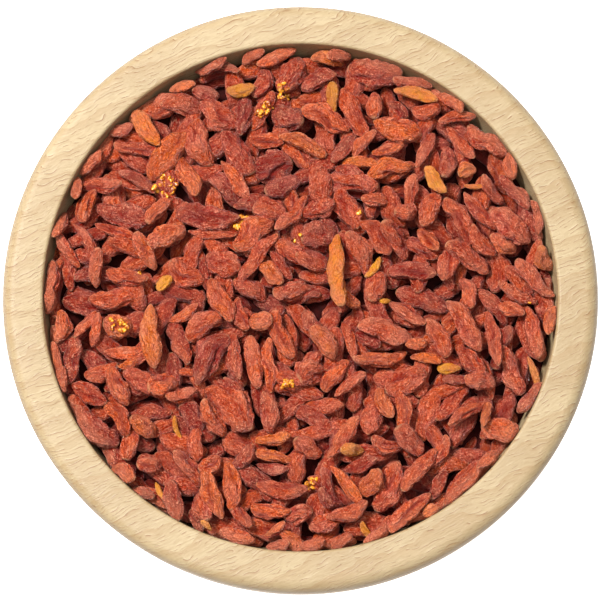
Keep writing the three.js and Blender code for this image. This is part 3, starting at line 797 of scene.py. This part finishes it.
def laid(berry, corners):
    """Corners of a berry where it lies: clear of the wall and no higher than the CAD part."""
    corners = corners @ resting_turn(berry).T + leaning_place(berry)
    corners[:, 2] -= max(0, corners[:, 2].max() - CEILING)
    return off_wall(corners)


def smooth_surface(heights):
    """The height map of the pile, evened out over a few cells."""
    surface = np.array(heights).reshape(GRID, GRID)
    steps = range(-EVEN_CELLS, EVEN_CELLS + 1)
    rows = sum(np.roll(surface, step, 0) for step in steps) / len(steps)
    return sum(np.roll(rows, step, 1) for step in steps) / len(steps)


def depth_under(surface, corners):
    """How far corners lie under the evened surface of the pile, in mm."""
    column, row = np.floor(corners[:, :2] / CELL + GRID / 2 + 0.5).astype(int).T
    return surface[row, column] - corners[:, 2]


def berries_mesh(name, berries, mesh_size, surface, dice):
    """One mesh of many berries. Its attributes tell the material, for each corner, its place in the
    skin's texture, its relief, its depth in the pile, which sets painted light and shade, and its
    berry's tone, ends and shade, which is dullness, and painted shade on the hidden berries.
    """
    corners, faces = [], []
    values = {"place": [], "relief": [], "depth": [], "kind": []}
    for berry in berries:
        local, place, relief = berry_corners(berry, mesh_size, dice)
        faces += tube_faces(*mesh_size, len(corners) * len(local))
        corners.append(laid(berry, local))
        tone, shade = (np.full(len(local), berry[key]) for key in ("tone", "shade"))
        tip = local[:, 0] / berry["length"] * 2
        values["place"].append(place)
        values["relief"].append(relief)
        values["depth"].append(depth_under(surface, corners[-1]))
        values["kind"].append(np.stack([tone, shade, tip], axis=-1))
    mesh = smooth_mesh(name, np.concatenate(corners), faces)
    for attribute, parts in values.items():
        add_attribute(mesh, attribute, np.concatenate(parts))
    return mesh


# The spilled seeds


def seed_form():
    """Corners of one seed before it is flattened, wider at one end, from -1 to 1."""
    t, angle = ring_grid(*SEED_MESH)
    thick = np.sqrt(np.maximum(0, 1 - t**2)) * (1 - SEED_TAPER * t)
    return without_doubles(np.stack([t, thick * np.cos(angle), thick * np.sin(angle)], axis=-1))


def seeds_mesh(dice, heights):
    """Small piles of flat seeds that spilled out of torn berries, lying on the berries."""
    form = seed_form()
    corners, faces = [], []
    for right, down, heading, length, width, seeds in SPILLS:
        middle = from_picture(right, down)
        turn = math.radians(heading)
        for _ in range(seeds):
            along, across = dice.uniform(-0.5, 0.5, 2) * (length, width) / UNITS_PER_MM
            x = middle[0] + along * math.cos(turn) - across * math.sin(turn)
            y = middle[1] + along * math.sin(turn) + across * math.cos(turn)
            seed = {
                "roll": dice.uniform(-SEED_ROLL, SEED_ROLL),
                "slope": dice.uniform(-SEED_SLOPE, SEED_SLOPE),
                "heading": dice.uniform(0, SEED_HEADING),
            }
            local = form * np.array(SEED_SIZE) / 2 * dice.uniform(*SEED_SCALE)
            faces += tube_faces(*SEED_MESH, len(corners) * len(form))
            level = min(heights[on_grid(x, y)], CEILING - SEED_HEADROOM) - SEED_SINK
            corners.append(local @ resting_turn(seed).T + (x, y, level))
    return smooth_mesh("spilled_seeds", np.concatenate(corners), faces)


# The bowl's mesh and the bed's


def arc(centre, radii, start, end, steps):
    """Points of a quarter round from one angle to another, without its first point."""
    points = []
    for i in range(1, steps + 1):
        angle = start + (end - start) * i / steps
        x = centre[0] + radii[0] * math.cos(angle)
        points.append((x, centre[1] + radii[1] * math.sin(angle)))
    return points


def bowl_profile():
    """Half section of the bowl in mm, from the middle of its foot to the middle of its floor."""
    quarter = math.pi / 2
    shoulder = BOWL_HEIGHT - RIM_OUTER_ROUND[1]
    waist = FOOT_RADIUS - FOOT_STEP
    outer = (BOWL_RADIUS - waist, shoulder - FOOT_HEIGHT)
    rim = (BOWL_RADIUS - RIM_OUTER_ROUND[0], shoulder)
    lip = (INNER_RADIUS + RIM_INNER_ROUND, BOWL_HEIGHT - RIM_INNER_ROUND)
    profile = [
        (0, 0),
        (FOOT_RADIUS - FOOT_EDGE, 0),
        (FOOT_RADIUS, FOOT_EDGE),
        (FOOT_RADIUS, FOOT_HEIGHT - FOOT_EDGE),
        (waist, FOOT_HEIGHT),
    ]
    profile += arc((waist, shoulder), outer, -quarter, 0, WALL_STEPS)
    profile += arc(rim, RIM_OUTER_ROUND, 0, quarter, RIM_STEPS)
    profile.append((INNER_RADIUS + RIM_INNER_ROUND, BOWL_HEIGHT))
    profile += arc(lip, (RIM_INNER_ROUND, RIM_INNER_ROUND), quarter, 2 * quarter, LIP_STEPS)
    for i in range(1, WALL_STEPS + 1):
        depth = INNER_DEPTH * math.sin(quarter * i / WALL_STEPS)
        profile.append((hollow_radius(depth), BOWL_HEIGHT - depth))
    return profile


def turned_mesh(name, profile, segments):
    """A closed profile turned round the upright axis."""
    angle = np.linspace(0, math.tau, segments, endpoint=False)
    rings = []
    for radius, height in profile:
        level = np.full(segments, height)
        rings.append(np.stack([radius * np.cos(angle), radius * np.sin(angle), level], axis=-1))
    faces = [face[::-1] for face in tube_faces(len(profile) - 1, segments, 0)]
    return smooth_mesh(name, without_doubles(np.array(rings)), faces)


def bed_mesh():
    """A lumpy round slab under the pile, which carries the painted shade that shows between the berries.
    """
    bottom = BOWL_HEIGHT - BED_BOTTOM
    profile = [(0, bottom), (hollow_radius(BED_BOTTOM) - BED_WALL_GAP, bottom)]
    for i in range(BED_STEPS + 1):
        radius = (hollow_radius(BED_TOP) - BED_WALL_GAP) * (1 - i / BED_STEPS)
        profile.append((radius, crown_height(radius) - BED_TOP))
    mesh = turned_mesh("dark_shade_slab", profile, BED_SEGMENTS)
    for corner in mesh.vertices:
        if corner.co.z > (bottom + 1) * MM:
            lump = noise(np.array([corner.co]) / MM / BED_LUMP_GRAIN, 9)[0]
            corner.co.z += BED_LUMP * MM * float(lump)
    return mesh


# Shader building


def linear(colour):
    """A colour as a screen shows it, from 0 to 255, as linear light with an alpha of 1."""
    made = []
    for value in colour:
        value /= 255
        made.append(value / 12.92 if value <= 0.04045 else ((value + 0.055) / 1.055) ** 2.4)
    return (*made, 1)


class Shader:
    """Short ways to add nodes to one material."""

    def __init__(self, name):
        self.material = bpy.data.materials.new(name)
        self.material.use_nodes = True
        self.tree = self.material.node_tree

    def put(self, socket, value):
        """Links a socket to another one, or gives it a number or colour of its own."""
        if isinstance(value, bpy.types.NodeSocket):
            self.tree.links.new(value, socket)
        else:
            socket.default_value = value

    def node(self, kind, inputs, output=0, **settings):
        """Adds a node with its inputs, and gives one of its outputs."""
        made = self.tree.nodes.new(kind)
        for key, value in settings.items():
            setattr(made, key, value)
        for key, value in inputs.items():
            self.put(made.inputs[key], value)
        return made.outputs[output]

    def math(self, operation, *values):
        return self.node("ShaderNodeMath", dict(enumerate(values)), operation=operation)

    def times(self, a, b):
        return self.math("MULTIPLY", a, b)

    def plus(self, value, *shares):
        """A value plus shares of others, each given as (value, share)."""
        for other, share in shares:
            value = self.math("MULTIPLY_ADD", other, share, value)
        return value

    def vector(self, operation, *values, output="Vector"):
        return self.node("ShaderNodeVectorMath", dict(enumerate(values)), output, operation=operation)

    def noise(self, place, scale, detail=2.0, roughness=0.5, distortion=0.0, output="Fac"):
        inputs = {"Vector": place, "Scale": scale, "Detail": detail}
        inputs |= {"Roughness": roughness, "Distortion": distortion}
        return self.node("ShaderNodeTexNoise", inputs, output)

    def long_noise(self, place, along, across, **settings):
        """Noise that changes more slowly along the first axis than across it."""
        return self.noise(self.vector("MULTIPLY", place, (along, across, across)), 1.0, **settings)

    def cells(self, place, scale):
        """Distance from the middle of the nearest of many cells."""
        return self.node("ShaderNodeTexVoronoi", {"Vector": place, "Scale": scale}, "Distance")

    def span(self, value, low, high, to_low=0.0, to_high=1.0):
        """Maps a value from one span to another, and keeps it within that one."""
        return self.node("ShaderNodeMapRange", dict(enumerate((value, low, high, to_low, to_high))))

    def thin_lines(self, value, width):
        """1 along the lines where a noise passes its middle value, 0 away from them."""
        away = self.math("ABSOLUTE", self.math("SUBTRACT", value, 0.5))
        return self.span(away, width, 0.0)

    def saw(self, place, per_mm, *shifts):
        """Levels across a place that rise from 0 to 1 and drop again, shifted by shares of noises."""
        level = self.vector("DOT_PRODUCT", place, per_mm, output="Value")
        return self.math("FRACT", self.plus(level, *shifts))

    def ramp(self, value, *stops):
        """Colours by a value, each stop given as (value, colour)."""
        made = self.tree.nodes.new("ShaderNodeValToRGB")
        points = made.color_ramp.elements
        while len(points) < len(stops):
            points.new(0.5)
        for point, (position, colour) in zip(points, stops):
            point.position = position
            point.color = linear(colour)
        self.put(made.inputs[0], value)
        return made.outputs[0]

    def coat(self, under, colour, share):
        """Lays a colour over another one, as far as a share says."""
        return self.node("ShaderNodeMix", {0: share, 6: under, 7: linear(colour)}, 2, data_type="RGBA")

    def place(self):
        """Place in the piece, in metres."""
        return self.node("ShaderNodeTexCoord", {}, "Object")

    def attribute(self, name, output):
        return self.node("ShaderNodeAttribute", {}, output, attribute_name=name)

    def bump(self, height, distance):
        return self.node("ShaderNodeBump", {"Strength": 1.0, "Distance": distance, "Height": height})

    def complete(self, **inputs):
        """The material, with its surface's inputs, such as Base_Color."""
        for name, value in inputs.items():
            self.put(self.tree.nodes["Principled BSDF"].inputs[name.replace("_", " ")], value)
        return self.material


# Dried skin


def skin_by_ripeness(s, place, tone, shade):
    """Colour of the skin before its details: by its tone, a little uneven, and duller by its shade: its
    dullness, and painted shade on the hidden berries.
    """
    blotches = s.noise(place, 0.42, detail=3.0, roughness=0.6)
    uneven = s.plus(tone, (s.math("SUBTRACT", blotches, 0.5), 2.4))
    colour = s.ramp(s.times(uneven, 1 / RIPEST), *[(step / RIPEST, skin) for step, skin in SKIN_BY_TONE])
    return s.coat(colour, DULL_AND_SHADED_SKIN, s.span(shade, 0.0, 4.0))


def dust_highlight_and_pit_shade(s, colour, place, streaks, grain, plain):
    """Pale patches, a dusty bloom with painted highlight on the skin's fine ridges, and painted shade in
    the hollows between them.
    """
    pale = s.span(s.noise(place, 0.2, detail=1.0), 0.5, 0.68, 0.0, 0.45)
    dusty_highlight = s.span(s.plus(s.times(grain, 0.6), (streaks, 0.4)), 0.5, 0.6)
    pit_shading = s.span(s.plus(s.times(grain, 0.7), (streaks, 0.3)), 0.49, 0.36)
    colour = s.coat(colour, PALE_SKIN, s.times(pale, plain))
    # A dusty bloom with painted highlight on the ridges, then painted shade in the hollows
    colour = s.coat(colour, SKIN_DUST_AND_HIGHLIGHT, s.times(s.times(dusty_highlight, plain), 0.8))
    return s.coat(colour, PIT_SHADE, s.times(s.times(pit_shading, plain), 0.8))


def specked_and_tipped(s, colour, place, tip):
    """Rare pale specks, and paler ends where the stalk and the flower were."""
    specks = s.span(s.cells(place, 0.75), 0.06, 0.1, 1.0, 0.0)
    rare = s.span(s.noise(place, 0.31, detail=0.0), 0.58, 0.62)
    end = s.span(s.math("ABSOLUTE", tip), 0.93, 0.985)
    colour = s.coat(colour, PALE_SPECK, s.times(specks, rare))
    return s.coat(colour, BERRY_END, s.times(end, 0.5))


def berry_material():
    """Dry wrinkled skin, brick to orange, with painted shade in its creases and deep in the pile, and
    painted light on its ridges, which also look dusty.
    """
    s = Shader("dried_goji_skin")
    place = s.attribute("place", "Vector")
    relief = s.attribute("relief", "Fac")
    depth = s.attribute("depth", "Fac")
    kind = s.tree.nodes.new("ShaderNodeSeparateXYZ")
    s.put(kind.inputs[0], s.attribute("kind", "Vector"))
    tone, shade, tip = kind.outputs
    plain = s.span(tone, 2.6, 3.6, 1.0, 0.4)
    along = s.vector("MULTIPLY", place, (0.5, 1.0, 1.0))
    streaks = s.noise(along, 1.6, detail=3.0, roughness=0.65, distortion=0.8)
    grain = s.noise(place, 2.2, detail=3.0, roughness=0.7)
    wide = s.times(s.thin_lines(s.noise(along, 0.62, distortion=0.6), 0.045), plain)
    fine = s.noise(along, 1.3, roughness=0.6, distortion=0.6)
    fine = s.times(s.thin_lines(fine, 0.06), plain)
    folds = s.span(s.plus(relief, (streaks, 0.2)), -0.3, -0.04, 1.0, 0.0)
    colour = skin_by_ripeness(s, place, tone, shade)
    colour = dust_highlight_and_pit_shade(s, colour, place, streaks, grain, plain)
    # Painted shade in the fine and wide wrinkles and in the folds
    colour = s.coat(colour, FINE_WRINKLE_SHADE, s.times(fine, 0.5))
    colour = s.coat(colour, DEEP_CREASE_SHADE, s.times(wide, 0.6))
    colour = s.coat(colour, DEEP_CREASE_SHADE, s.times(s.times(folds, plain), 0.65))
    colour = specked_and_tipped(s, colour, place, tip)
    # Painted light where a berry stands out of the pile, painted shade deep in its cavities
    colour = s.coat(colour, RIDGE_PAINTED_LIGHT, s.times(s.span(depth, -0.3, -2.2), 0.25))
    colour = s.coat(colour, CAVITY_SHADE, s.times(s.span(depth, 1.3, 4.8), 0.85))
    roughness = s.span(streaks, 0.35, 0.65, 0.26, 0.52)
    height = s.plus(streaks, (grain, 0.9), (fine, -0.14), (wide, -0.25))
    bump = s.bump(height, 1.4 * MM)
    return s.complete(Base_Color=colour, Roughness=roughness, Specular_IOR_Level=0.7, Normal=bump)


# Seeds, bed and wood


def seed_material():
    """Glossy straw yellow seeds with brown blotches."""
    s = Shader("goji_seed")
    blotches = s.noise(s.place(), 900.0, roughness=0.6)
    colour = s.ramp(blotches, (0.42, SEED_BROWN), (0.6, SEED_STRAW))
    return s.complete(Base_Color=colour, Roughness=0.28, Normal=s.bump(blotches, 0.25 * MM))


def bed_material():
    """Painted shade: a dark red slab under the pile that shows between the berries."""
    s = Shader("painted_shade_bed")
    lumps = s.noise(s.place(), 260.0, detail=3.0, roughness=0.6)
    # Painted shade seen between the berries
    colour = s.ramp(lumps, (0.3, BED_SHADE_DARK), (0.7, BED_SHADE_RED))
    bump = s.bump(lumps, 1.2 * MM)
    return s.complete(Base_Color=colour, Roughness=0.8, Specular_IOR_Level=0.1, Normal=bump)


def place_in_wood(s, whole):
    """Place in the wood in mm, with the grain along the first axis and waving to the sides."""
    in_mm = (1 / MM, 1 / MM, 1 / MM)
    inputs = {"Vector": whole, "Rotation": GRAIN_TURN, "Scale": in_mm}
    turned = s.node("ShaderNodeMapping", inputs)
    wave = s.vector("SUBTRACT", s.noise(turned, 0.09, output="Color"), (0.5, 0.5, 0.5))
    return s.vector("ADD", turned, s.vector("MULTIPLY", wave, (0.0, GRAIN_WAVE, GRAIN_WAVE)))


def shaded_edge(s, whole):
    """How much painted shade darkens the wood: only near the bowl's rounded outer edge, and most there.
    """
    from_axis = s.vector("MULTIPLY", whole, (1 / MM, 1 / MM, 0.0))
    radius = s.vector("LENGTH", from_axis, output="Value")
    return s.span(radius, EDGE_FROM, EDGE_TO, 0.0, EDGE_SHADE_SHARE)


def beech_material():
    """Pale oiled beech: growth bands, broken pore lines with a painted highlight beside them and fine
    fibres along a slanting grain.
    """
    s = Shader("oiled_beech")
    whole = s.place()
    place = place_in_wood(s, whole)
    broad = s.long_noise(place, 0.05, 0.1)
    wobble = s.long_noise(place, 0.16, 0.34, detail=1.0)
    fibres = s.long_noise(place, 0.3, 2.2, detail=3.0, roughness=0.6)
    broken = s.span(s.long_noise(place, 0.3, 0.8, roughness=0.6), 0.48, 0.56)
    late = s.math("POWER", s.saw(place, BANDS_PER_MM, (broad, 1.6)), 2.5)
    lines = s.saw(place, LINES_PER_MM, (wobble, 2.4))
    dark_side = s.times(s.math("POWER", lines, 6.0), broken)
    highlight_side = s.times(s.math("POWER", s.math("SUBTRACT", 1.0, lines), 5.0), broken)
    colour = s.ramp(broad, (0.35, BEECH_DEEP), (0.65, BEECH_PALE))
    colour = s.coat(colour, LATE_WOOD, s.times(late, 0.48))
    colour = s.coat(colour, WOOD_FIBRE, s.span(fibres, 0.4, 0.65, 0.0, 0.34))
    # Painted highlight beside each pore line
    colour = s.coat(colour, LINE_HIGHLIGHT, s.times(highlight_side, 0.4))
    colour = s.coat(colour, PORE_LINE, s.times(dark_side, 0.9))
    # Painted shade near the rounded outer edge
    colour = s.coat(colour, OUTER_EDGE_SHADE, shaded_edge(s, whole))
    roughness = s.span(broad, 0.3, 0.7, 0.45, 0.58)
    height = s.plus(fibres, (dark_side, -0.4))
    bump = s.bump(height, 0.14 * MM)
    return s.complete(Base_Color=colour, Roughness=roughness, Specular_IOR_Level=0.4, Normal=bump)


# The pieces


def give(piece, material, slot_name, *nodes):
    """Material and body of a piece, and the nodes that it stands for. The slot name is not used."""
    piece.data.materials.append(material)
    if nodes:
        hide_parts(*nodes)
    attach(piece, "root")


def build_bowl():
    bowl = place_piece(turned_mesh("turned_bowl", bowl_profile(), BOWL_SEGMENTS))
    give(bowl, beech_material(), "beech", "bowl")


def build_bed():
    bed = place_piece(bed_mesh())
    give(bed, bed_material(), "dried_berries", "goji_berries")


def colour_berries(dice, hidden, others):
    """Gives the hidden berries a tone and painted shade, and the other berries a shade of dullness."""
    for berry in hidden:
        tone = dice.normal(HIDDEN_TONE, HIDDEN_TONE_SPREAD)
        berry["tone"] = float(np.clip(tone, *HIDDEN_TONE_LIMITS))
        # The hidden berries lie deep in the pile: their shade is painted shade
        berry["shade"] = HIDDEN_PAINTED_SHADE
    for berry in others:
        berry["shade"] = dice.uniform(*(DULL_SHADE if berry["tone"] < DULL_UNDER_TONE else SHADE))


def build_berries(dice, hidden, seen, by_wall, heights):
    skin = berry_material()
    surface = smooth_surface(heights)
    colour_berries(dice, hidden, seen + by_wall)
    groups = [
        ("lower_berries", hidden, HIDDEN_MESH, HIDDEN_PER_PIECE),
        ("upper_berries", seen, SEEN_MESH, SEEN_PER_PIECE),
        ("wall_berries", by_wall, WALL_MESH, SEEN_PER_PIECE),
    ]
    for group, berries, mesh_size, per_piece in groups:
        for n, start in enumerate(range(0, len(berries), per_piece)):
            name = f"{group}_{n + 1}"
            part = berries[start : start + per_piece]
            piece = place_piece(berries_mesh(name, part, mesh_size, surface, dice))
            give(piece, skin, "dried_berries", "goji_berries")


def build_seeds(dice, heights):
    seeds = place_piece(seeds_mesh(dice, heights))
    give(seeds, seed_material(), "dried_berries")


# Floor, light and camera


def build_floor():
    """A white table, which shines a little so that it stays white."""
    near, far = -FLOOR_HALF, FLOOR_HALF
    mesh = bpy.data.meshes.new("floor")
    corners = [(near, near, 0), (far, near, 0), (far, far, 0), (near, far, 0)]
    mesh.from_pydata(corners, [], [(0, 1, 2, 3)])
    table = Shader("white_table")
    table.complete(Base_Color=FLOOR_WHITE, Roughness=0.8)
    table.complete(Emission_Color=WHITE, Emission_Strength=FLOOR_GLOW)
    mesh.materials.append(table.material)
    place_piece(mesh)


def area_light(name, place, size, energy):
    """A round lamp that points at what the camera looks at."""
    light = bpy.data.lights.new(name, "AREA")
    light.shape = "DISK"
    light.size = size
    light.energy = energy
    lamp = bpy.data.objects.new(name, light)
    lamp.location = place
    lamp.rotation_euler = (CAMERA_AIM - Vector(place)).to_track_quat("-Z", "Y").to_euler()
    bpy.context.scene.collection.objects.link(lamp)


def build_light():
    world = bpy.context.scene.world = bpy.data.worlds.new("studio")
    world.use_nodes = True
    background = world.node_tree.nodes["Background"]
    background.inputs["Color"].default_value = WHITE
    background.inputs["Strength"].default_value = WORLD_STRENGTH
    for lamp in LAMPS:
        area_light(**lamp)


def build_camera():
    data = bpy.data.cameras.new("camera")
    data.lens = LENS
    data.sensor_width = SENSOR
    camera = bpy.data.objects.new("camera", data)
    back = Vector((0, -math.cos(CAMERA_ELEVATION), math.sin(CAMERA_ELEVATION)))
    camera.location = CAMERA_AIM + back * CAMERA_DISTANCE
    camera.rotation_euler = (-back).to_track_quat("-Z", "Y").to_euler()
    bpy.context.scene.collection.objects.link(camera)
    bpy.context.scene.camera = camera


dice = np.random.default_rng(PILE_SEED)
hidden_berries, seen_berries, height_map = pile()
berries_by_wall = wall_berries(height_map)
build_bowl()
build_bed()
build_berries(dice, hidden_berries, seen_berries, berries_by_wall, height_map)
build_seeds(dice, height_map)
build_floor()
build_light()
build_camera()
bpy.context.scene.view_settings.view_transform = "Standard"
